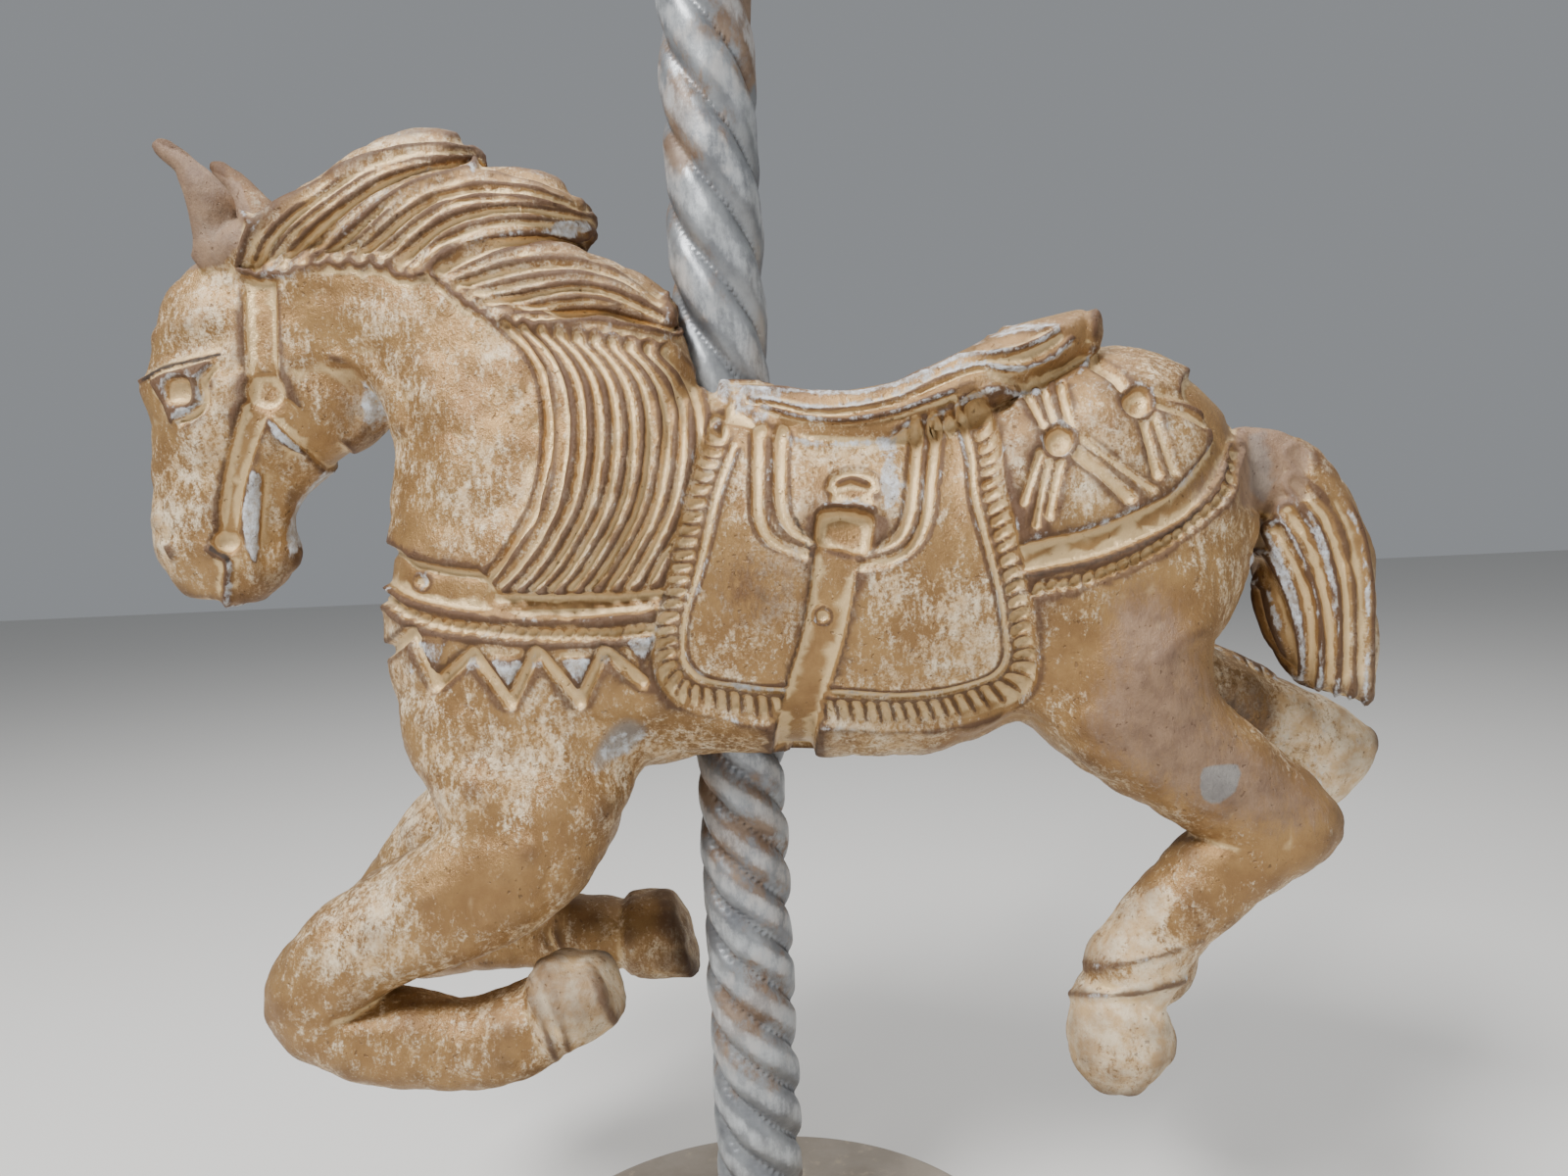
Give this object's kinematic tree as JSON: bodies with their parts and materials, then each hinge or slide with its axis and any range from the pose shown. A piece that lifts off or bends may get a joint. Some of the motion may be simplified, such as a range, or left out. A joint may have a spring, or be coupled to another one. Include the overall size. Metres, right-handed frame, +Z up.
{
  "type": "carousel horse",
  "caption": "Carved wooden carousel horse in worn gold paint, leaping on a twisted silver-grey pole with a round painted base.",
  "frame": {"origin": "centre of the base's underside, on the pole's axis", "axes": "+Z up along the pole; the horse looks along -X; its near side, the one in the picture, faces -Y"},
  "size_m": [0.3285, 0.152, 0.398],
  "materials": {
    "horse_gold": "gold-bronze paint over white gesso, worn through and patinated",
    "pole_silver": "silver-grey paint with a brown patina, satin",
    "base_paint": "taupe paint, matt"
  },
  "bodies": {
    "root": {"base": "base_paint", "pole": "pole_silver", "horse": "horse_gold"}
  },
  "joints": []
}
